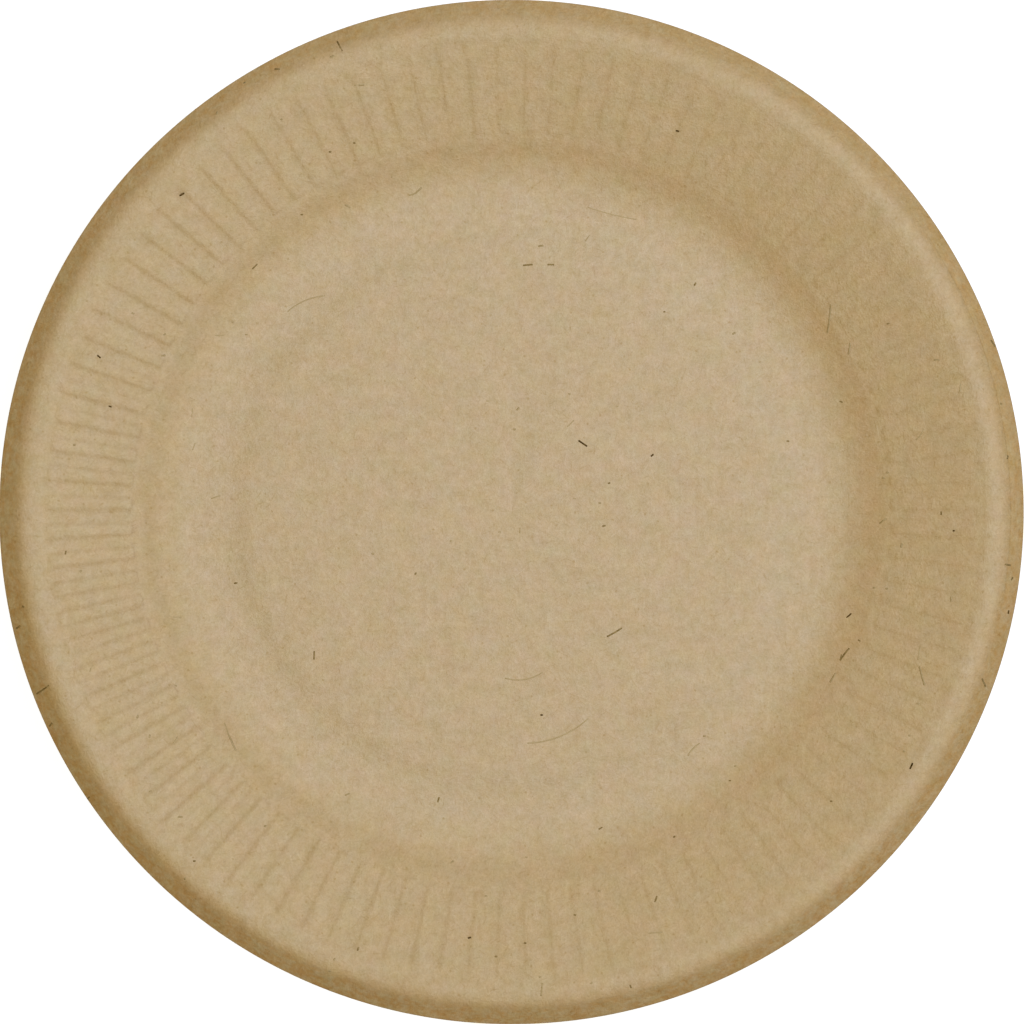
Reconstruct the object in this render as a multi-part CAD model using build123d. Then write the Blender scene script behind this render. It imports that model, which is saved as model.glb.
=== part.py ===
from build123d import *

import os
from math import atan2, cos, degrees, radians, sin, tan

# A round plate pressed from one sheet of plant fibre, with a shallow well, a ribbed rim and a
# turned-down lip. It stands on the flat ring round its raised centre. Lengths are in millimetres
# and angles in degrees. The origin is on the plate's axis, on the table, and +Z is up.

# Whole plate
plate_diameter = 178.0
sheet_thickness = 0.65

# Lip and crest: widths are measured level, and radii are those of the food side
lip_width = 5.6  # from the top of the crest out to the trimmed edge
lip_angle = 52.0
crest_radius = 3.3

# Rim: a plain cone from the shoulder of the well up to the crest
rim_width = 17.2
rim_angle = 28.0

# Well: the wall sweeps up from the base ring, then runs straight to the shoulder
wall_width = 1.95
wall_angle = 40.0
sweep_radius = 15.0

# Base: a flat ring to stand on, and a step up to the flat centre
ring_width = 3.7
step_width = 4.3
centre_rise = 0.8

# Ribs: raised pads on the rim's food side, each with a hollow behind it
rib_count = 100
rib_height = 0.35
rib_flank_width = 0.45  # how far a pad's sides spread from its top to its foot
rib_inner_gap = 1.7  # from the shoulder to a pad's foot, along the slope
rib_outer_gap = 0.4  # from a pad's foot to the crest, along the slope
rib_width_share = 0.58  # of the pitch, at a pad's foot
rib_overrun = 0.1  # how far a rib's solids run past the face of the sheet that they meet

# Flats that stand for the round stretches of the section
sweep_flats = 3
crest_flats = 4

# Radii of the corners of the section, worked out from the trimmed edge inwards
plate_radius = plate_diameter / 2
crest_start_radius = plate_radius - lip_width - crest_radius * sin(radians(rim_angle))
shoulder_radius = crest_start_radius - rim_width
ring_outer_radius = shoulder_radius - wall_width - sweep_radius * sin(radians(wall_angle))
ring_inner_radius = ring_outer_radius - ring_width
centre_radius = ring_inner_radius - step_width


def slope_length(width, angle):
    """Length along a slope that covers a level width."""
    return width / cos(radians(angle))


# The food side in section, from the axis to the trimmed edge
centre_level = sheet_thickness + centre_rise
centre = Line((0, centre_level), (centre_radius, centre_level))
step = Line(centre @ 1, (ring_inner_radius, sheet_thickness))
ring = Line(step @ 1, (ring_outer_radius, sheet_thickness))
sweep = JernArc(ring @ 1, ring % 1, sweep_radius, wall_angle)
wall = PolarLine(sweep @ 1, slope_length(wall_width, wall_angle), wall_angle)
rim = PolarLine(wall @ 1, slope_length(rim_width, rim_angle), rim_angle)
crest = JernArc(rim @ 1, rim % 1, crest_radius, -rim_angle - lip_angle)
lip = PolarLine(crest @ 1, slope_length(plate_radius - (crest @ 1).X, lip_angle), -lip_angle)


def food_side():
    """Corners of the food side in section, with each round stretch drawn as a few equal flats."""
    corners = [centre @ 0, centre @ 1, step @ 1, ring @ 1]
    corners += [sweep @ (flat / sweep_flats) for flat in range(1, sweep_flats + 1)]
    corners += [wall @ 1, rim @ 1]
    corners += [crest @ (flat / crest_flats) for flat in range(1, crest_flats + 1)]
    return corners + [lip @ 1]


def underside():
    """Corners of the underside in section, one sheet's thickness below each flat of the food side."""
    corners = food_side()
    flats = [(end - start).normalized() for start, end in zip(corners, corners[1:])]
    normals = [Vector(-flat.Y, flat.X) for flat in flats]
    shifts = [Vector(0, sheet_thickness / normals[0].Y)]
    shifts += [(a + b) * (sheet_thickness / (1 + a.dot(b))) for a, b in zip(normals, normals[1:])]
    shifts += [Vector(0, sheet_thickness / normals[-1].Y)]
    return [corner - shift for corner, shift in zip(corners, shifts)]


def plain_sheet():
    """The sheet with no ribs: its section turned about the axis, with an edge trimmed straight down."""
    section = make_face(Polyline(*food_side(), *reversed(underside()), close=True))
    return revolve(Plane.XZ * section, Axis.Z)


# The rib on the +X side: its length, and the middle and half width of its foot
rib_length = rim.length - rib_inner_gap - rib_outer_gap
rib_middle = rim @ ((rib_inner_gap + rib_length / 2) / rim.length)
rib_half_width = rib_middle.X * tan(radians(180 / rib_count * rib_width_share))
rib_draft = degrees(atan2(rib_flank_width, rib_height))


def rib_wedge(level, inset):
    """A wedge that stands on the rim's cone at a level square to the food side, with leaning sides.

    Its long sides point at the tip of that cone, so that they meet it in straight lines.
    """
    tip_distance = (rib_middle.X - level * sin(radians(rim_angle))) / cos(radians(rim_angle))
    spread_share = (rib_half_width - inset) / tip_distance
    reach = rib_length / 2 - inset
    inner_half_width = spread_share * (tip_distance - reach)
    outer_half_width = spread_share * (tip_distance + reach)
    corners = [
        (-reach, -inner_half_width),
        (reach, -outer_half_width),
        (reach, outer_half_width),
        (-reach, inner_half_width),
    ]
    foot = make_face(Polyline(*corners, close=True))
    sunk_foot = offset(foot, rib_overrun * tan(radians(rib_draft)), kind=Kind.INTERSECTION)
    slope = Plane((rib_middle.X, 0, rib_middle.Y)).rotated((0, -rim_angle, 0))
    return extrude(slope.offset(level - rib_overrun) * sunk_foot, rib_overrun + rib_height, taper=rib_draft)


def ribbed_plate():
    """The sheet with its ring of ribs, set so that the +X axis falls between two pads."""
    pad = rib_wedge(0, 0)
    # The hollow is drawn in from the pad's sides, so that the sheet stays as thick round a rib
    hollow = rib_wedge(-sheet_thickness, sheet_thickness * tan(radians(90 - rib_draft) / 2))
    places = PolarLocations(0, rib_count, 180 / rib_count)
    pads = [place * pad for place in places]
    hollows = [place * hollow for place in places]
    return plain_sheet() + pads - hollows


os.makedirs("parts", exist_ok=True)
export_step(ribbed_plate(), "parts/plate.step")
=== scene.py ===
from math import asin, atan2, cos, hypot, pi, radians, sin, sqrt, tan

import bpy
import numpy as np
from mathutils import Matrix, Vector, noise


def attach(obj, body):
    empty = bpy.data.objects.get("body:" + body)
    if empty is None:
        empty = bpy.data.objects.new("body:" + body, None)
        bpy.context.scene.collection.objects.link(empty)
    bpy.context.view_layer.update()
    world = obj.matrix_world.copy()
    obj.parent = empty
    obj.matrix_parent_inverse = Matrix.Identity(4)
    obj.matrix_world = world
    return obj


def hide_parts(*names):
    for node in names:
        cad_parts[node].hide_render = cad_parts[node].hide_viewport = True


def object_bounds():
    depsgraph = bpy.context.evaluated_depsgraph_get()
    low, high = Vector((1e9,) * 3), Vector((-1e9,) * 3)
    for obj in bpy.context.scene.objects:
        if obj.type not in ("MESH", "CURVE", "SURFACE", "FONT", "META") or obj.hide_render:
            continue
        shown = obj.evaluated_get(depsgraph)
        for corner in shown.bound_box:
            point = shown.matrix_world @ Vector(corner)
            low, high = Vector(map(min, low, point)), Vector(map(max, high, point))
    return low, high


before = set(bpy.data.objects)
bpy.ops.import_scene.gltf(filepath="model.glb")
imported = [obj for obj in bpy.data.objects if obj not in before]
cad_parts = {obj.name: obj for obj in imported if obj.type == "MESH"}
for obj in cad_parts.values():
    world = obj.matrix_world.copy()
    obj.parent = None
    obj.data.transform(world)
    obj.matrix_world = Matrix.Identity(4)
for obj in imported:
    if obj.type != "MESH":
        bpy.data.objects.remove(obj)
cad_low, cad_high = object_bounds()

# The finished plate: one sheet of pressed plant fibre with rounded bends and soft ribs, and the loose
# fibres that show on its face. Lengths are in millimetres and angles in degrees, until a mesh is made.
MM = 0.001

# Section of the sheet, on its food side
plate_radius = (cad_high.x - cad_low.x) / 2 / MM
sheet_thickness = 0.65
centre_rise = 0.8
step_radius = 47.5  # middle of the step from the raised centre down to the base ring
step_angle = 13.5
sweep_start_radius = 53.27  # outer edge of the base ring
sweep_radius = 15.0
wall_angle = 40.0
shoulder_radius = 64.86
shoulder_round = 6.0
rim_angle = 28.0
crest_top_radius = 83.4
crest_radius = 3.3
lip_angle = 52.0
trim_round = 0.14  # how far the trimmed edge is rounded

# Ribs on the rim
rib_count = 100
rib_pitch = 2 * pi / rib_count  # in radians
rib_height = 0.35
rib_start = 1.5  # from the shoulder to the middle of a rib's inner end, along the slope
rib_end = 17.9
rib_width_share = 0.486  # of the pitch, between the middles of a rib's sides
# How wide the soft rise of a rib's sides is, of its inner end and of its outer end: where the ribs are
# shallow, and where they are deep
rib_side_spreads = (0.85, 1.25)
rib_inner_spreads = (1.5, 0.9)
rib_outer_spreads = (2.6, 1.3)
spread_depths = (0.5, 1.6)  # the depths that those two belong to, as shares of the ribs' height
hollow_inset = 0.25  # how much narrower the hollow behind a rib is on each side
# The press has bitten deepest on one side: the depth of the ribs by direction, as shares of their height
deepest_azimuth = 190.0
depth_mean_share = 0.8
depth_swing_share = 0.5
depth_second_swing_share = 0.3
# The ring of ribs sits a little off the axis: how far that turns a rib at most, and where it turns none
rib_drift = 1.06
drift_free_azimuth = 143.0

# A thin fold in the lip, on the plate's right: its place, and how far round it reaches from its middle
fold_radius = 86.6
fold_width = 0.17
fold_depth = 0.06
fold_azimuth = 12.0
fold_reach = 30.0
fold_crease_shade = 3.5  # how much more painted shade the fold gets than the sides of the ribs

# Unevenness of the pressed sheet
wave_heights = (0.05, 0.022)
wave_lengths = (17.0, 6.0)
wave_fade = 9.0  # the waves die out this near to the middle of the base ring, which stays flat


def even_shares(count):
    """Shares of a stretch at which so many evenly spaced rows stand, the last of them at its end."""
    return np.linspace(0, 1, count + 1)[1:]


# Rows of the mesh on each stretch of the section, from the axis outwards, as shares of the stretch.
# They stand close at the ends of the ribs and at the fold in the lip.
row_shares = {
    "centre": even_shares(24),
    "step_top": even_shares(7),
    "step_slope": even_shares(0),
    "step_foot": even_shares(7),
    "ring": even_shares(2),
    "sweep": even_shares(9),
    "wall": even_shares(1),
    "shoulder": even_shares(6),
    "rim": (
        0.009, 0.024, 0.036, 0.049, 0.061, 0.073, 0.091, 0.24, 0.4, 0.55,
        0.7, 0.857, 0.881, 0.9, 0.915, 0.928, 0.942, 0.957, 0.976, 1,
    ),
    "crest": even_shares(11),
    "lip": (0.155, 0.188, 0.22, 0.252, 0.285, 1),
}

# Columns of the mesh: where they stand in each pitch of the ribs, as shares of the pitch
column_shares = (0, 0.13, 0.195, 0.257, 0.32, 0.385, 0.5, 0.615, 0.68, 0.743, 0.805, 0.87)
coarse_step = 4  # away from the ribs, every fourth column is enough
sparse_step = 20  # and near the axis, every twentieth
sparse_radius = 8.0

# The plate's outline in the photograph, in pixels of its 1024 x 1024 frame
frame_px = 1024
outline_centre_px = (511.5, 512.0)
outline_radius_px = 512.3
mm_per_px = plate_radius / outline_radius_px


# The section as a function of the radius

def section_corners():
    """Corners of the food side in section as (radius, level, rounding), from the axis to the edge."""
    step_half = centre_rise / tan(radians(step_angle)) / 2
    step_round = centre_rise / sin(radians(step_angle)) / 2 / tan(radians(step_angle / 2))
    base = sheet_thickness
    top = base + centre_rise
    wall_foot = sweep_start_radius + sweep_radius * tan(radians(wall_angle / 2))
    shoulder = base + (shoulder_radius - wall_foot) * tan(radians(wall_angle))
    crest_back = crest_radius * tan(radians(rim_angle + lip_angle) / 2) * cos(radians(rim_angle))
    crest_corner = crest_top_radius - crest_radius * sin(radians(rim_angle)) + crest_back
    crest = shoulder + (crest_corner - shoulder_radius) * tan(radians(rim_angle))
    edge = crest - (plate_radius - crest_corner) * tan(radians(lip_angle))
    return [
        (0, top, 0),
        (step_radius - step_half, top, step_round),
        (step_radius + step_half, base, step_round),
        (wall_foot, base, sweep_radius),
        (shoulder_radius, shoulder, shoulder_round),
        (crest_corner, crest, crest_radius),
        (plate_radius, edge, 0),
    ]


def straight(corner, heading):
    """A straight stretch through a corner, as a function from radius to level and heading."""
    return lambda radius: (corner[1] + (radius - corner[0]) * tan(heading), heading)


def bend(centre, rounding, side):
    """A round stretch about a centre, which lies above the sheet for side 1 and below it for side -1."""
    def level_and_heading(radius):
        off = radius - centre[0]
        return centre[1] - side * sqrt(rounding**2 - off**2), side * asin(off / rounding)
    return level_and_heading


def section_stretches():
    """The section's stretches by turns straight and round, each as its outer radius and its function."""
    corners = section_corners()
    headings = [atan2(b[1] - a[1], b[0] - a[0]) for a, b in zip(corners, corners[1:])]
    chain = []
    for corner, before, after in zip(corners[1:], headings, headings[1:]):
        radius, level, rounding = corner
        side = 1 if after > before else -1
        back = rounding * abs(tan((after - before) / 2))
        start = radius - back * cos(before)
        start_level = level - back * sin(before)
        centre = (start - side * rounding * sin(before), start_level + side * rounding * cos(before))
        chain.append((start, straight(corner, before)))
        chain.append((radius + back * cos(after), bend(centre, rounding, side)))
    chain.append((plate_radius, straight(corners[-1], headings[-1])))
    return chain


stretches = section_stretches()
stretch_ends = dict(zip(row_shares, (end for end, _ in stretches)))


def section_at(radius):
    """Level and heading of the plain food side at a radius."""
    return next(stretch(radius) for end, stretch in stretches if radius <= end or end == plate_radius)


def section_radii():
    """Radii of the rows of the mesh on the food side, from next to the axis to just inside the edge."""
    radii = []
    start = 0
    for name, shares in row_shares.items():
        end = min(stretch_ends[name], plate_radius - 2 * trim_round)
        radii += [start + (end - start) * float(share) for share in shares]
        start = end
    return radii


# The sheet's relief

def smooth_step(value):
    """Rises smoothly from 0 to 1 as the value does."""
    value = np.clip(value, 0, 1)
    return value * value * (3 - 2 * value)


def rib_depth(angle):
    """How deep the ribs are pressed at angles about the axis, as a share of their height."""
    turn = angle - radians(deepest_azimuth)
    return depth_mean_share + depth_swing_share * np.cos(turn) + depth_second_swing_share * np.cos(2 * turn)


def by_depth(ends, angle):
    """A size that goes from one end to the other as the ribs at an angle get deeper."""
    return np.interp(rib_depth(angle), spread_depths, ends)


def rib_shares(radius, angle, inset=0.0):
    """How far up a rib a place lies by its side and inner end, and by its outer end, from 0 to 1 on top."""
    off_middle = np.abs(np.mod(angle, rib_pitch) - rib_pitch / 2)
    beside = (off_middle - rib_width_share * rib_pitch / 2) * radius + inset
    slope = (radius - shoulder_radius) / cos(radians(rim_angle))
    side = smooth_step(0.5 - beside / by_depth(rib_side_spreads, angle))
    inner_end = smooth_step(0.5 + (slope - rib_start - inset) / by_depth(rib_inner_spreads, angle))
    outer_end = smooth_step(0.5 - (slope - rib_end + inset) / by_depth(rib_outer_spreads, angle))
    return side * inner_end, outer_end


def rib_relief(radius, angle, inset=0.0):
    """How far a rib lifts the sheet, square to it, at a radius and at angles about the axis."""
    side, outer_end = rib_shares(radius, angle, inset)
    return rib_height * rib_depth(angle) * side * outer_end


def fold_share(radius, angle):
    """How deep in the lip's fold a place lies, from 0 to 1. It fades over the outer half of its reach."""
    reach = radians(fold_reach)
    off_middle = np.abs(np.mod(angle - radians(fold_azimuth) + pi, 2 * pi) - pi)
    return smooth_step(1 - abs(radius - fold_radius) / fold_width) * smooth_step(2 - 2 * off_middle / reach)


def relief(radius, angle, inset=0.0):
    """How far ribs and fold lift the sheet, square to it."""
    return rib_relief(radius, angle, inset) - fold_depth * fold_share(radius, angle)


def crease_shade(radius, angle):
    """Painted shade where the sheet bends: halfway up a rib's side or inner end, more where the ribs are
    deeper, and in the lip's fold.
    """
    side, outer_end = rib_shares(radius, angle)
    flank_shade = (1 + rib_depth(angle)) / 2 * outer_end * 4 * side * (1 - side)
    return flank_shade + fold_crease_shade * fold_share(radius, angle)


def drifted(angle):
    """Where on the plate the ribs' own angles fall."""
    return angle + radians(rib_drift) * np.sin(angle - radians(drift_free_azimuth))


def wave(x, y):
    """Height of the slow unevenness of the sheet at a place on it."""
    ring_middle = (step_radius + sweep_start_radius) / 2
    fade = float(smooth_step(abs(hypot(x, y) - ring_middle) / wave_fade))
    heights = zip(wave_heights, wave_lengths)
    return fade * sum(height * noise.noise(Vector((x, y, length)) / length) for height, length in heights)


def surface_level(x, y):
    """Level of the food side, with its ribs, fold and waves, at a place in plan."""
    radius = hypot(x, y)
    level, heading = section_at(radius)
    angle = atan2(y, x)
    rib_angle = 2 * angle - drifted(angle)  # undoes the drift, which is small
    return level + float(relief(radius, rib_angle)) / cos(heading) + wave(x, y)


# The sheet's mesh

def column_angles(step):
    """Angles of the mesh's columns about the axis, taking every so many of them."""
    angles = [(rib + share) * rib_pitch for rib in range(rib_count) for share in column_shares]
    return np.array(angles[::step])


def row_columns(radius):
    """Angles of the columns on the row at a radius: fine on the ribs, sparse near the axis."""
    if stretch_ends["shoulder"] < radius <= stretch_ends["rim"]:
        return column_angles(1)
    return column_angles(sparse_step if radius < sparse_radius else coarse_step)


def ring_of(radius, drop):
    """Points of the row at a radius of the food side, a drop below it and moved by the relief."""
    angles = row_columns(radius)
    level, heading = section_at(radius)
    shift = relief(radius, angles, hollow_inset if drop else 0) - drop
    return lifted_ring(radius - shift * sin(heading), level + shift * cos(heading), angles)


def lifted_ring(radius, level, angles):
    """Points round the axis at a radius and level, with the sheet's unevenness added."""
    x = radius * np.cos(drifted(angles))
    y = radius * np.sin(drifted(angles))
    z = level + np.array([wave(a, b) for a, b in zip(x, y)])
    return np.column_stack([x, y, z])


def trimmed_edge():
    """Rows of the edge, trimmed straight down and rounded a little, as (radius, level)."""
    edge, heading = section_at(plate_radius)
    foot = edge - sheet_thickness / cos(heading)
    halfway = radians(45)  # of the quarter turn round the edge's top, and round its foot
    bevel = trim_round * (1 - cos(halfway))
    slope = tan(-heading)
    return [
        (plate_radius - trim_round, edge + trim_round * slope),
        (plate_radius - bevel, edge - bevel + bevel * slope),
        (plate_radius, edge - trim_round),
        (plate_radius, foot + trim_round),
        (plate_radius - bevel, foot + bevel * slope),
        (plate_radius - trim_round, foot + trim_round * slope),
    ]


def bridge(inner, outer):
    """Faces between two rings of point numbers, one with a whole number of times as many as the other."""
    faces = []
    count = min(len(inner), len(outer))
    inner_step = len(inner) // count
    outer_step = len(outer) // count
    for column in range(count):
        a = [inner[(column * inner_step + i) % len(inner)] for i in range(inner_step + 1)]
        b = [outer[(column * outer_step + i) % len(outer)] for i in range(outer_step + 1)]
        if len(a) == len(b):
            faces.append((a[0], b[0], b[1], a[1]))
            continue
        half = (len(a) + len(b) - 2) // 2
        if len(b) > len(a):
            faces += [(a[0], b[i], b[i + 1]) for i in range(half)]
            faces.append((a[0], b[half], a[1]))
            faces += [(a[1], b[i], b[i + 1]) for i in range(half, len(b) - 1)]
        else:
            faces += [(b[0], a[i + 1], a[i]) for i in range(half)]
            faces.append((b[0], b[1], a[half]))
            faces += [(b[1], a[i + 1], a[i]) for i in range(half, len(a) - 1)]
    return faces


def new_piece(name, points, faces, materials, slots=None):
    """A smooth mesh object on the plate's body, from points in millimetres."""
    mesh = bpy.data.meshes.new(name)
    mesh.from_pydata((np.asarray(points) * MM).tolist(), [], faces)
    for material in materials:
        mesh.materials.append(material)
    if slots is not None:
        mesh.polygons.foreach_set("material_index", slots)
    mesh.polygons.foreach_set("use_smooth", [True] * len(mesh.polygons))
    mesh.update()
    piece = bpy.data.objects.new(name, mesh)
    bpy.context.scene.collection.objects.link(piece)
    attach(piece, "root")
    return piece


def make_plate(food_material, underside_material):
    """The sheet itself: rings of points over the food side, round the edge and back under the plate."""
    radii = section_radii()
    rings = [ring_of(radius, 0) for radius in radii]
    rings += [lifted_ring(radius, level, column_angles(coarse_step)) for radius, level in trimmed_edge()]
    food_bands = len(rings) - 1
    rings += [ring_of(radius, sheet_thickness) for radius in reversed(radii)]
    top_level = surface_level(0, 0)
    points = [(0, 0, top_level), (0, 0, top_level - sheet_thickness)]
    numbers = []
    for ring in rings:
        numbers.append(list(range(len(points), len(points) + len(ring))))
        points += ring.tolist()
    faces = [(0, a, b) for a, b in zip(numbers[0], numbers[0][1:] + numbers[0][:1])]
    slots = [0] * len(faces)
    for index, (inner, outer) in enumerate(zip(numbers, numbers[1:])):
        band = bridge(inner, outer)
        faces += band
        slots += [0 if index < food_bands else 1] * len(band)
    faces += [(1, b, a) for a, b in zip(numbers[-1], numbers[-1][1:] + numbers[-1][:1])]
    slots += [1] * len(numbers[-1])
    plate = new_piece("plate_sheet", points, faces, [food_material, underside_material], slots)
    # Painted shade on the rib sides and inner ends and in the lip's fold, kept on the points
    crease_shades = np.zeros(len(points))
    for radius, ring in zip(radii, numbers):
        crease_shades[ring] = crease_shade(radius, row_columns(radius))
    plate.data.attributes.new("crease_shade", "FLOAT", "POINT").data.foreach_set("value", crease_shades)
    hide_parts("plate")


# Loose fibres that show on the food side, each as the middle across and down the photograph in pixels,
# its length in pixels, its heading in degrees anticlockwise from the right, and how far it bends

dark_fibres = [
    (583.2, 443, 11, -34, 0), (850.5, 616, 7, 41, 0), (1008, 612, 4, 80, 0), (110, 406.6, 3.5, -20, 0),
    (99.5, 356.8, 5, -40, 0), (910, 765.2, 7, 65, 0), (182.7, 195.2, 6, 30, 0), (653, 455, 4, 40, 0),
    (677.6, 131, 4, -15, 0), (469.5, 937.5, 4, 15, 0), (541.8, 716.2, 3, 0, 0), (953, 530.7, 2.5, 0, 0),
]
brown_fibres = [
    (615, 633, 18, 30, 8), (860.2, 640.8, 3, -30, 0), (609.6, 483, 3, 20, 0), (88.7, 798, 4, 45, 0),
    (313, 656.2, 9, 88, 0), (358.5, 947.7, 4, 70, 0), (842.7, 401.2, 4, -20, 0), (575, 915.2, 3, 0, 0),
    (1006.7, 564.7, 7, -10, 0), (1011.4, 578.5, 4, 60, 0), (983, 682.5, 10, -65, 0), (604.5, 526, 4, 15, 0),
    (277.6, 70, 6, -5, 0), (888, 323.6, 3, 10, 0), (789.7, 440.7, 3, -10, 0), (696.3, 282.6, 4, 60, 0),
    (665.3, 310.6, 2.5, 0, 0), (528, 263.5, 10, 5, 0), (551, 263.2, 7, -2, 0), (301, 213.5, 3, 0, 0),
    (354, 142.6, 3, 0, 0), (330, 151.5, 3, 0, 0), (992.8, 343.5, 8, -57, 0), (1000, 404, 3, 0, 0),
    (731, 782, 3, 0, 0), (831, 801, 3, 0, 0), (601, 830, 5, 30, 0), (438, 801.5, 6, 75, 0),
    (195.3, 860, 3, 0, 0), (234, 583.5, 4, 10, 0), (415, 574, 3, 50, 0), (253.5, 265.4, 8, 45, 0),
    (941, 513, 4, 90, 0), (1006.5, 457.3, 4, 80, 0), (496, 955.8, 3, 0, 0), (18.7, 627, 6, 33, 0),
    (846, 655, 16, 54, -12), (842, 658, 7, 76, 30), (340.2, 47.2, 12, -62, 6), (656, 899.2, 7, 70, 0),
    (675, 838, 3, 40, 0), (24.2, 606.3, 3, -30, 0), (66.6, 552.5, 4.5, 80, 0), (43.5, 689.3, 17, 34, 6),
    (51.2, 724.5, 5, 50, 0), (525, 942.8, 3, 0, 0), (630.2, 985, 4, -70, 0),
]
tan_fibres = [
    (887.5, 588.8, 3, 0, 0), (875.2, 588, 3, 0, 0), (950.3, 598.7, 6, 80, 0), (518, 408.3, 4, 50, 0),
    (514.6, 429, 3, 0, 0), (162.7, 355.2, 5, 10, 0), (164, 334, 3, 40, 0), (133, 313.4, 3, -20, 0),
    (231, 321, 3, 0, 0), (244.7, 333.4, 3, 0, 0), (137.8, 716.5, 4, 80, 0), (149.9, 736, 4, 88, 0),
    (151.2, 790.5, 3, 0, 0), (181, 816.3, 5, 0, 0), (830, 318, 29, 84, 6), (850, 348.5, 12, 82, 8),
    (735.2, 332.3, 4, 35, 0), (541, 244.2, 6, 6, 20), (346.5, 796, 6, 20, 0), (486, 896.8, 3, -5, 0),
    (414.5, 189.5, 16, 33, 50), (600.3, 503, 3, 0, 0), (908.7, 735, 3, 0, 0), (75, 445, 3, 0, 0),
    (705.5, 737.5, 3, 0, 0), (736.5, 767.5, 3, 0, 0), (372, 554, 3, 0, 0), (229, 737.5, 31, -67, 8),
    (888.4, 472.4, 3, 0, 0), (884.5, 478, 3, 0, 0), (186, 877.5, 3, 40, 0), (335, 957.8, 3, 60, 0),
    (265, 826.4, 3, 0, 0), (330.4, 969.4, 3, 0, 0), (174.2, 686, 4, -20, 0), (81.3, 571, 3, 30, 0),
    (884, 521.3, 9, 36, -15), (902, 545.5, 5, 75, 0), (935.8, 360.3, 6, -8, 0), (834, 678.5, 11, 57, 0),
    (921.5, 675.5, 20, -76, 6), (903, 750.8, 2.5, 0, 0), (917.4, 703.3, 3, 0, 0), (599.3, 891.6, 3, 0, 0),
    (451.8, 863.6, 5, 35, 0), (526.4, 859, 3, 0, 0), (540, 975.6, 3, 0, 0), (541.6, 988, 13, 84, 0),
    (591.4, 981.5, 3, 60, 0), (359.5, 86, 10, 2, 0), (217.7, 114, 4, 70, 0), (245, 83.2, 3, 20, 0),
    (332.7, 58, 5, 20, 0), (346.8, 204.5, 7, -25, 0), (282, 120.3, 2.5, 0, 0), (391.3, 175, 3, 70, 0),
]
pale_fibres = [
    (613, 211.5, 51, -14, 10), (305, 302.5, 42, 23, -38), (524, 676, 40, 9, 52), (558, 732, 68, 22, 42),
    (695, 751, 18, 47, -34), (588, 236.5, 8, 55, 0), (918.8, 653, 14, 80, 0), (92, 668, 8, 70, 0),
    (487.8, 400.5, 3, 0, 0), (574.8, 498.4, 3, 0, 0), (450.8, 541, 3, 0, 0), (499.7, 532, 3, 0, 0),
    (570, 393.3, 3, 0, 0), (617.7, 405.7, 3, 0, 0), (520, 530.6, 6, 88, 0), (571, 423, 10, 45, 0),
    (218, 334.4, 10, 5, 0), (190, 412, 9, 85, 40), (213.7, 497, 10, 20, 0), (175.4, 740, 8, 60, 0),
    (192, 446, 8, 70, 0), (175.5, 617.8, 9, -5, 0), (655, 932.2, 14, 4, 0), (920, 434.5, 14, 55, 25),
    (959, 388, 9, 85, 0),
]
dark_fibre_width = 0.3
brown_fibre_width = 0.28
tan_fibre_width = 0.3
pale_fibre_width = 0.2
fibre_lift = 0.05  # how far a fibre's back stands above the sheet
fibre_sink = 0.06  # how far its belly is sunk in it
fibre_step_px = 3.0  # length of each straight step along a fibre
fibre_blunt_share = 0.3  # of its width: how far its tips stand out
fibre_corners = 4  # of each ring of points along it: left, back, right and belly


def fibre_path(length, heading, turn, shares):
    """Points at shares of the way along a fibre, an arc about its own middle, and the heading at each."""
    headings = radians(heading) + radians(turn) * (shares - 0.5)
    if turn == 0:
        along = length * (shares - 0.5)
        return np.column_stack([along * np.cos(headings), along * np.sin(headings)]), headings
    points = length / radians(turn) * np.column_stack([np.sin(headings), -np.cos(headings)])
    return points - (points[0] + points[-1]) / 2, headings


def fibre_mesh(across, down, length_px, heading, turn, width):
    """Points and faces of one fibre: a thin closed spindle with blunt ends that lies on the food side."""
    middle = np.array([across - outline_centre_px[0], outline_centre_px[1] - down]) * mm_per_px
    length = length_px * mm_per_px
    blunt = fibre_blunt_share * width / length
    shares = np.linspace(blunt, 1 - blunt, max(2, round(length_px / fibre_step_px)))
    path, headings = fibre_path(length, heading, turn, np.array([0, *shares, 1]))
    path = path + middle
    points = []
    for spot, now in zip(path[1:-1], headings[1:-1]):
        side = width / 2 * np.array([-sin(now), cos(now)])
        left, right = spot + side, spot - side
        level = surface_level(*spot)
        points.append((*left, surface_level(*left)))
        points.append((*spot, level + fibre_lift))
        points.append((*right, surface_level(*right)))
        points.append((*spot, level - fibre_sink))
    start_tip = len(points)
    end_tip = start_tip + 1
    last_ring = start_tip - fibre_corners
    points += [(*path[0], surface_level(*path[0])), (*path[-1], surface_level(*path[-1]))]
    faces = []
    for corner in range(fibre_corners):
        after = (corner + 1) % fibre_corners
        faces.append((start_tip, after, corner))
        for ring in range(0, last_ring, fibre_corners):
            beyond = ring + fibre_corners
            faces.append((ring + corner, ring + after, beyond + after, beyond + corner))
        faces.append((end_tip, last_ring + corner, last_ring + after))
    return points, faces


def make_fibres(name, table, width, material):
    """One piece that holds all the loose fibres of a colour."""
    points, faces = [], []
    for row in table:
        new_points, new_faces = fibre_mesh(*row, width)
        faces += [tuple(corner + len(points) for corner in face) for face in new_faces]
        points += new_points
    new_piece(name, points, faces, [material])


# Materials

# Colours are linear here. The sheet's own fibre ranges between these two.
darkest_tone = (0.45, 0.3238, 0.1705)
palest_tone = (0.617, 0.495, 0.337)
middle_tone = 0.5  # halfway between two tones
noise_middle = 0.5  # the middle of what noise and random colours give
no_tint = Vector((1, 1, 1))
in_plan = (1, 1, 0)  # leaves the height of a place out
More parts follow.
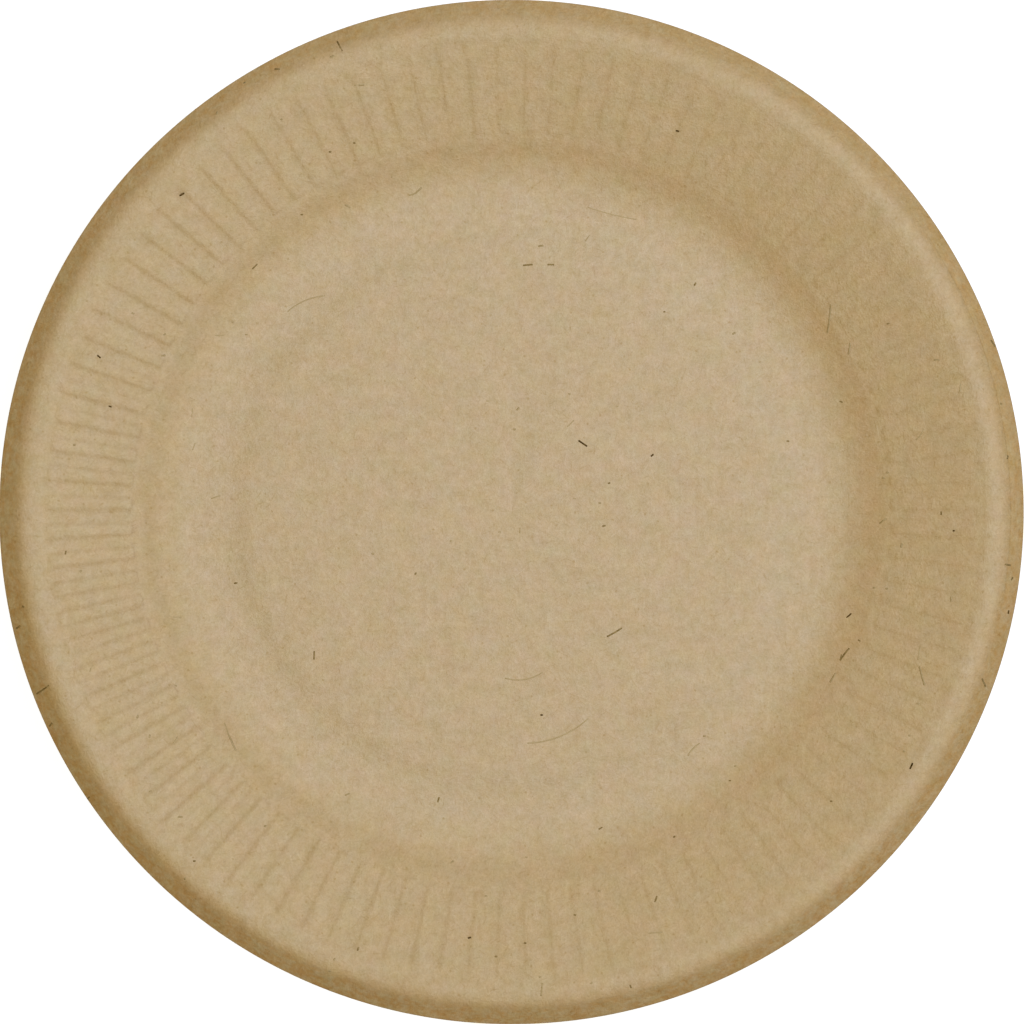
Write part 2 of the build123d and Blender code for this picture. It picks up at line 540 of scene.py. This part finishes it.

# Tint by the radius in pixels of the photograph: painted shade and light that set each band's brightness,
# darker and warmer on the steep wall, the rim and the lip, with some real toasting from the press towards
# the edge
toast_and_shade_stops = [
    (240, (0.971, 0.9615, 0.945)),
    (280, (0.975, 0.978, 0.963)),
    (302, (1.0, 1.0, 1.0)),
    (318, (1.0, 0.995, 0.985)),
    (334, (0.972, 0.962, 0.917)),
    (348, (0.95, 0.918, 0.82)),
    (363, (0.926, 0.877, 0.763)),
    (380, (0.936, 0.904, 0.81)),
    (465, (0.934, 0.906, 0.816)),
    (480, (0.921, 0.902, 0.838)),
    (486, (0.92, 0.883, 0.79)),
    (491, (0.91, 0.843, 0.705)),
    (496, (0.895, 0.805, 0.62)),
    (500, (0.864, 0.766, 0.56)),
    (512, (0.845, 0.732, 0.51)),
]

# Noise in the sheet: the length of its grains, and its strength. Clouds and mottle move the tone, and the
# finest grain moves the brightness of all colours alike.
cloud_length, cloud_amount = 8.0, 0.19
cloud_detail, cloud_roughness = 1.0, 0.5
mottle_length, mottle_amount = 2.0, 1.12
mottle_detail, mottle_roughness = 3.0, 0.95
grain_length, grain_amount = 0.4, 0.18
grain_detail, grain_roughness = 1.0, 0.8
crease_shade_amount = 0.09  # how much painted shade darkens the tone halfway up the rib sides and inner ends and in the lip's fold

# Patches of other hues: how far they move the red, the green and the blue
hue_length, hue_detail, hue_roughness = 5.0, 2.0, 0.8
hue_amounts = Vector((0.12, 0, 0.225))

# Streaks drawn out round the axis, and the tints that they range between on the lip
streak_length, streak_width = 2.6, 1.3
streak_detail, streak_roughness = 2.0, 1.0
lip_streak_amount = 3.0
lip_streak_lean = Vector((-0.7, -1.2, 0))  # how much that changes towards the plate's right and its top
lip_warm = (0.96, 0.87, 0.71)
lip_cool = (1.04, 1.13, 1.29)
lip_band = (85.0, 87.0)  # the radii where the lip's tint starts and is full

# Painted shade and light by side of the plate, as the lamps fall: how much the red, green and blue change
# towards the plate's right, as shares, on the wall, on the rim with the lip, and on the lip alone, and how
# much they change towards its top on the lip
wall_shade_lean = Vector((0.06, 0.05, 0.085))
rim_shade_lean = Vector((-0.009, -0.018, -0.036))
lip_shade_lean = Vector((-0.007, -0.022, -0.066))
lip_shade_rise = Vector((0.048, 0.054, 0.053))
wall_shade_band = (60.5, 62.6, 63.6, 65.6)  # the radii where the wall's painted shade starts, is full, and dies out again
rim_shade_band = (64.5, 67.0)

# Relief too fine for the mesh
bump_height = 0.2
wrinkle_height = 0.2
wrinkle_patch = (-0.15, 0.15)  # the clouds' noise where the wrinkles start, and where they are full
wrinkle_band = (62.0, 67.0)
roughness_range = (0.97, 0.86)  # of the darkest and of the palest tone
specular_level = 0.2
screen_pitch = 0.7
screen_height = 0.012

# Fine fibres in the sheet: spacing, length and width, the share of cells that hold one, and how much darker
# they are, or paler below 0
fine_fibres = [
    (2.4, 2.0, 0.13, 0.4, 0.26),
    (1.5, 1.1, 0.12, 0.35, 0.26),
    (3.4, 2.8, 0.11, 0.35, -0.22),
    (2.6, 0.5, 0.26, 0.14, 0.55),
]
fibre_curl = 0.35
layer_shift = Vector((31.7, 12.3, 0))  # between the nets that hold the layers of fine fibres

# Loose fibres: the darkest and the palest colour of each kind, and the noise that moves between them
dark_fibre_tones = ((0.045, 0.025, 0.004), (0.14, 0.085, 0.027))
brown_fibre_tones = ((0.19, 0.127, 0.04), (0.35, 0.252, 0.108))
tan_fibre_tones = ((0.36, 0.268, 0.125), (0.45, 0.343, 0.18))
pale_fibre_tones = ((0.43, 0.328, 0.165), (0.5, 0.388, 0.215))
bark_length, bark_amount = 0.8, 2.0
bark_detail, bark_roughness = 2.0, 0.5
loose_roughness = 0.95
loose_specular_level = 0

# Numbers of a Mix node's sockets for colours: the share and the two colours, and the result
mix_inputs = (0, 6, 7)
mix_output = 2


def add(tree, kind, inputs=(), **settings):
    """A shader node with its settings, and its inputs taken from sockets or set to constants."""
    made = tree.nodes.new("ShaderNode" + kind)
    for key, value in settings.items():
        setattr(made, key, value)
    for key, term in dict(inputs).items():
        if isinstance(term, bpy.types.NodeSocket):
            tree.links.new(term, made.inputs[key])
        else:
            made.inputs[key].default_value = term
    return made


def calc(tree, operation, *terms):
    """The result of an operation on numbers, taken from sockets or set to constants."""
    return add(tree, "Math", enumerate(terms), operation=operation).outputs[0]


def vector_calc(tree, operation, *terms):
    """The result of an operation on vectors."""
    return add(tree, "VectorMath", enumerate(terms), operation=operation).outputs[0]


def ease(tree, value, low, high):
    """Rises smoothly from 0 at the low value to 1 at the high one."""
    ends = {"Value": value, "From Min": low, "From Max": high}
    return add(tree, "MapRange", ends, interpolation_type="SMOOTHSTEP").outputs["Result"]


def noise_texture(tree, place, length, detail, roughness, dimensions="2D"):
    """A noise texture with grains of about a length, the same at all heights unless it is given 3D."""
    inputs = {"Vector": place, "Scale": 1 / length, "Detail": detail, "Roughness": roughness}
    return add(tree, "TexNoise", inputs, noise_dimensions=dimensions).outputs


def speckle(tree, *noise_values):
    """Soft noise about zero."""
    return calc(tree, "SUBTRACT", noise_texture(tree, *noise_values)["Fac"], noise_middle)


def opaque(colour):
    """A colour with its alpha, as nodes take it."""
    return (*colour, 1)


def blend_colours(tree, kind, share, first, second):
    """A mix of two colours, taken from sockets or set to constants."""
    terms = dict(zip(mix_inputs, (share, first, second)))
    return add(tree, "Mix", terms, data_type="RGBA", blend_type=kind).outputs[mix_output]


def fine_fibre_layer(tree, place, spacing, length, width, share):
    """A mask of short bent fibres that lie every way, at most one in each cell of a random net."""
    cells = vector_calc(tree, "MULTIPLY", place, (1 / spacing, 1 / spacing, 0))
    net = add(tree, "TexVoronoi", {"Vector": cells, "Scale": 1.0}, voronoi_dimensions="2D")
    chance = add(tree, "SeparateColor", {0: net.outputs["Color"]}).outputs
    local = vector_calc(tree, "SUBTRACT", cells, net.outputs["Position"])
    angle = calc(tree, "MULTIPLY", chance[0], 2 * pi)
    turned = add(tree, "VectorRotate", {"Vector": local, "Angle": angle}, rotation_type="Z_AXIS").outputs[0]
    axes = add(tree, "SeparateXYZ", {0: turned}).outputs
    along = calc(tree, "ABSOLUTE", axes[0])
    either_way = calc(tree, "SUBTRACT", chance[1], noise_middle)
    bow = calc(tree, "MULTIPLY", either_way, 2 * fibre_curl * spacing / length)
    across = calc(tree, "MULTIPLY_ADD", calc(tree, "MULTIPLY", along, along), bow, axes[1])
    reach = length / 2 / spacing
    inside = ease(tree, along, reach, reach / 2)
    near = ease(tree, calc(tree, "ABSOLUTE", across), width / spacing, 0.0)
    here = calc(tree, "LESS_THAN", chance[2], share)
    return calc(tree, "MULTIPLY", calc(tree, "MULTIPLY", inside, near), here)


def toast_and_shade(tree, radius):
    """Painted shade and light by band, darker and warmer on the steep wall, rim and lip, with some toasting
    by the press towards the edge, by the distance from the axis.
    """
    share = calc(tree, "DIVIDE", radius, plate_radius)
    ramp = add(tree, "ValToRGB", {"Fac": share})
    stops = ramp.color_ramp.elements
    for at_px, _ in toast_and_shade_stops[len(stops):]:
        stops.new(at_px / outline_radius_px)
    for stop, (at_px, colour) in zip(stops, toast_and_shade_stops):
        stop.position = at_px / outline_radius_px
        stop.color = opaque(colour)
    return ramp.outputs["Color"]


def painted_side_shade(tree, place, radius, on_lip):
    """Painted shade and light: the tint by which the plate's right differs from its left, and its top from
    its foot.
    """
    on_plate = vector_calc(tree, "DIVIDE", place, (plate_radius,) * 3)
    right, top, _ = add(tree, "SeparateXYZ", {0: on_plate}).outputs
    start, full, full_end, end = wall_shade_band
    on_wall = calc(tree, "MULTIPLY", ease(tree, radius, start, full), ease(tree, radius, end, full_end))
    lean = vector_calc(tree, "MULTIPLY", on_wall, wall_shade_lean)
    lean = vector_calc(tree, "MULTIPLY_ADD", ease(tree, radius, *rim_shade_band), rim_shade_lean, lean)
    lean = vector_calc(tree, "MULTIPLY_ADD", on_lip, lip_shade_lean, lean)
    shade_tint = vector_calc(tree, "MULTIPLY_ADD", lean, right, no_tint)
    return vector_calc(tree, "MULTIPLY_ADD", calc(tree, "MULTIPLY", top, on_lip), lip_shade_rise, shade_tint)


def lip_tint(tree, place, drawn_out):
    """The tint that the streaks leave on the lip, more strongly on one side of the plate."""
    lean = add(tree, "VectorMath", {0: place, 1: lip_streak_lean / plate_radius}, operation="DOT_PRODUCT")
    amount = calc(tree, "ADD", lean.outputs["Value"], lip_streak_amount)
    share = calc(tree, "MULTIPLY_ADD", drawn_out, amount, middle_tone)
    return blend_colours(tree, "MIX", share, opaque(lip_warm), opaque(lip_cool))


def from_axis(tree, place):
    """The distance of a place from the plate's axis."""
    level = vector_calc(tree, "MULTIPLY", place, in_plan)
    return add(tree, "VectorMath", {0: level}, operation="LENGTH").outputs["Value"]


def streaks(tree, place, radius):
    """Noise about zero that is drawn out round the axis."""
    round_axis = vector_calc(tree, "NORMALIZE", vector_calc(tree, "MULTIPLY", place, in_plan))
    turns = plate_radius / streak_length
    outwards = add(tree, "CombineXYZ", {"Z": calc(tree, "DIVIDE", radius, streak_width)}).outputs[0]
    drawn_out = vector_calc(tree, "MULTIPLY_ADD", round_axis, (turns, turns, 0), outwards)
    return speckle(tree, drawn_out, 1.0, streak_detail, streak_roughness, "3D")


def sheet_tone(tree, place, mottle, clouds):
    """How pale the sheet's fibre is: noise and fine fibres, and painted shade halfway up the rib sides and
    inner ends and in the lip's fold.
    """
    tone = calc(tree, "MULTIPLY_ADD", mottle, mottle_amount, middle_tone)
    tone = calc(tree, "MULTIPLY_ADD", clouds, cloud_amount, tone)
    for index, (spacing, length, width, share, amount) in enumerate(fine_fibres):
        shifted = vector_calc(tree, "ADD", place, layer_shift * (index + 1))
        mask = fine_fibre_layer(tree, shifted, spacing, length, width, share)
        tone = calc(tree, "MULTIPLY_ADD", mask, -amount, tone)
    # Painted shade along the rib sides and in the fold darkens the tone
    crease_shaded = add(tree, "Attribute", attribute_name="crease_shade").outputs["Fac"]
    return calc(tree, "MULTIPLY_ADD", crease_shaded, -crease_shade_amount, tone)


def sheet_colour(tree, place, radius, tone, drawn_out):
    """The sheet's colour: its tone, toasted by the press and painted with shade by band and by side, with
    hues and grain, and streaked on the lip.
    """
    colour = blend_colours(tree, "MIX", tone, opaque(darkest_tone), opaque(palest_tone))
    # Painted shade and light by band, with some toasting towards the edge
    colour = blend_colours(tree, "MULTIPLY", 1.0, colour, toast_and_shade(tree, radius))
    hue_noise = noise_texture(tree, place, hue_length, hue_detail, hue_roughness)["Color"]
    hue = vector_calc(tree, "MULTIPLY_ADD", hue_noise, hue_amounts, no_tint - hue_amounts * noise_middle)
    grain = speckle(tree, place, grain_length, grain_detail, grain_roughness)
    hue = vector_calc(tree, "MULTIPLY", hue, calc(tree, "MULTIPLY_ADD", grain, grain_amount, 1.0))
    colour = blend_colours(tree, "MULTIPLY", 1.0, colour, hue)
    on_lip = ease(tree, radius, *lip_band)
    # Painted shade and light by side of the plate
    colour = blend_colours(tree, "MULTIPLY", 1.0, colour, painted_side_shade(tree, place, radius, on_lip))
    return blend_colours(tree, "MULTIPLY", on_lip, colour, lip_tint(tree, place, drawn_out))


def new_material(name):
    """A material, its node tree and the shader in it."""
    material = bpy.data.materials.new(name)
    material.use_nodes = True
    return material, material.node_tree, material.node_tree.nodes["Principled BSDF"]


def place_on_piece(tree):
    """The place on a piece, in millimetres."""
    return vector_calc(tree, "MULTIPLY", add(tree, "TexCoord").outputs["Object"], (1 / MM,) * 3)


def fibre_material(name, screen=False):
    """Matte pressed plant fibre: mottled, with fine fibres in it, and the press's toasting and painted
    shade over it.
    """
    material, tree, shader = new_material(name)
    place = place_on_piece(tree)
    radius = from_axis(tree, place)
    mottle = speckle(tree, place, mottle_length, mottle_detail, mottle_roughness)
    clouds = speckle(tree, place, cloud_length, cloud_detail, cloud_roughness)
    drawn_out = streaks(tree, place, radius)
    tone = sheet_tone(tree, place, mottle, clouds)
    colour = sheet_colour(tree, place, radius, tone, drawn_out)
    tree.links.new(colour, shader.inputs["Base Color"])
    height = calc(tree, "MULTIPLY", mottle, bump_height)
    wrinkle_limit = calc(tree, "MULTIPLY", ease(tree, radius, *wrinkle_band), wrinkle_height)
    wrinkles = calc(tree, "MULTIPLY", drawn_out, ease(tree, clouds, *wrinkle_patch))
    height = calc(tree, "MULTIPLY_ADD", wrinkles, wrinkle_limit, height)
    if screen:
        height = calc(tree, "ADD", height, screen_marks(tree, place))
    bump = add(tree, "Bump", {"Height": height, "Distance": MM, "Strength": 1.0})
    tree.links.new(bump.outputs["Normal"], shader.inputs["Normal"])
    rough_at_dark, rough_at_pale = roughness_range
    rough = add(tree, "MapRange", {"Value": tone, "To Min": rough_at_dark, "To Max": rough_at_pale})
    tree.links.new(rough.outputs["Result"], shader.inputs["Roughness"])
    shader.inputs["Specular IOR Level"].default_value = specular_level
    return material


def screen_marks(tree, place):
    """The faint weave that the forming screen leaves on the underside."""
    axes = add(tree, "SeparateXYZ", {0: place}).outputs
    waves = [calc(tree, "SINE", calc(tree, "MULTIPLY", axis, 2 * pi / screen_pitch)) for axis in axes[:2]]
    return calc(tree, "MULTIPLY", calc(tree, "ADD", *waves), screen_height / 2)


def loose_fibre_material(name, dark, pale):
    """A stray fibre or speck of bark, uneven along its length."""
    material, tree, shader = new_material(name)
    bark = speckle(tree, place_on_piece(tree), bark_length, bark_detail, bark_roughness)
    share = calc(tree, "MULTIPLY_ADD", bark, bark_amount, middle_tone)
    colour = blend_colours(tree, "MIX", share, opaque(dark), opaque(pale))
    tree.links.new(colour, shader.inputs["Base Color"])
    shader.inputs["Roughness"].default_value = loose_roughness
    shader.inputs["Specular IOR Level"].default_value = loose_specular_level
    return material


make_plate(fibre_material("fibre_food_side"), fibre_material("fibre_underside", screen=True))
loose_fibres = [
    ("dark_flecks", dark_fibres, dark_fibre_width, "bark_dark", dark_fibre_tones),
    ("brown_flecks", brown_fibres, brown_fibre_width, "bark_brown", brown_fibre_tones),
    ("tan_flecks", tan_fibres, tan_fibre_width, "bark_tan", tan_fibre_tones),
    ("stray_fibres", pale_fibres, pale_fibre_width, "stray_fibre", pale_fibre_tones),
]
for piece_name, fibre_table, fibre_width, material_name, tones in loose_fibres:
    make_fibres(piece_name, fibre_table, fibre_width, loose_fibre_material(material_name, *tones))

# Floor, light and camera

floor_size = 6.0  # in metres
floor_level = -0.05
floor_colour = (0.35, 0.35, 0.35)
floor_roughness = 0.9
floor_glow = 0.88
floor_glow_colour = (1, 1, 1)
# Each lamp: azimuth, elevation, distance and width in metres, and power in watts
lamps = {"key": (45.0, 50.0, 0.8, 0.4, 2.196), "fill": (315.0, 25.0, 0.8, 0.4, 0.855)}
lamp_colour = (0.774, 1, 1.579)
dome_strength = 0.7654
dome_below_share, dome_above_share = 0.48, 0.52  # of the way up from straight down to straight up
dome_below = (0.06, 0.045, 0.03)
dome_above = (1, 0.9071, 0.6571)
camera_lens = 300.0
sensor_width = 36.0
camera_reach = 10.0  # in metres


def make_floor():
    """A plain white floor that the plate stands on."""
    half = floor_size / 2
    level = floor_level * MM
    mesh = bpy.data.meshes.new("floor")
    corners = [(-half, -half, level), (half, -half, level), (half, half, level), (-half, half, level)]
    mesh.from_pydata(corners, [], [(0, 1, 2, 3)])
    material, _, shader = new_material("white_floor")
    shader.inputs["Base Color"].default_value = opaque(floor_colour)
    shader.inputs["Roughness"].default_value = floor_roughness
    shader.inputs["Emission Color"].default_value = opaque(floor_glow_colour)
    shader.inputs["Emission Strength"].default_value = floor_glow
    mesh.materials.append(material)
    floor = bpy.data.objects.new("floor", mesh)
    bpy.context.scene.collection.objects.link(floor)
    floor.visible_diffuse = False


def make_lamp(name, azimuth, elevation, distance, width, power):
    """A round soft lamp that points at the plate."""
    lamp = bpy.data.lights.new(name, "AREA")
    lamp.shape = "DISK"
    lamp.size = width
    lamp.energy = power
    lamp.color = lamp_colour
    holder = bpy.data.objects.new(name, lamp)
    level = cos(radians(elevation))
    turn = radians(azimuth)
    towards = Vector((level * cos(turn), level * sin(turn), sin(radians(elevation))))
    holder.location = towards * distance
    holder.rotation_euler = towards.to_track_quat("Z", "Y").to_euler()
    bpy.context.scene.collection.objects.link(holder)


def make_dome():
    """An even, warm dome above, and little light from below."""
    world = bpy.data.worlds.new("studio")
    world.use_nodes = True
    bpy.context.scene.world = world
    tree = world.node_tree
    background = tree.nodes["Background"]
    background.inputs["Strength"].default_value = dome_strength
    up = add(tree, "SeparateXYZ", {0: add(tree, "TexCoord").outputs["Generated"]}).outputs["Z"]
    share = calc(tree, "MULTIPLY_ADD", up, 0.5, 0.5)  # from 0 straight down to 1 straight up
    ramp = add(tree, "ValToRGB", {"Fac": share})
    below, above = ramp.color_ramp.elements
    below.position, below.color = dome_below_share, opaque(dome_below)
    above.position, above.color = dome_above_share, opaque(dome_above)
    tree.links.new(ramp.outputs["Color"], background.inputs["Color"])


def make_camera():
    """A camera straight above the plate, with its outline where the photograph has it."""
    data = bpy.data.cameras.new("camera")
    data.lens = camera_lens
    data.sensor_width = sensor_width
    middle_px = frame_px / 2
    half_frame = middle_px * mm_per_px
    across = (middle_px - outline_centre_px[0]) * mm_per_px
    up = (outline_centre_px[1] - middle_px) * mm_per_px
    above = section_at(plate_radius)[0] + half_frame * camera_lens / (sensor_width / 2)
    camera = bpy.data.objects.new("camera", data)
    camera.location = Vector((across, up, above)) * MM
    data.clip_end = camera_reach
    bpy.context.scene.collection.objects.link(camera)
    bpy.context.scene.camera = camera


make_floor()
for lamp_name, lamp_values in lamps.items():
    make_lamp(lamp_name, *lamp_values)
make_dome()
make_camera()
bpy.context.scene.view_settings.view_transform = "Standard"
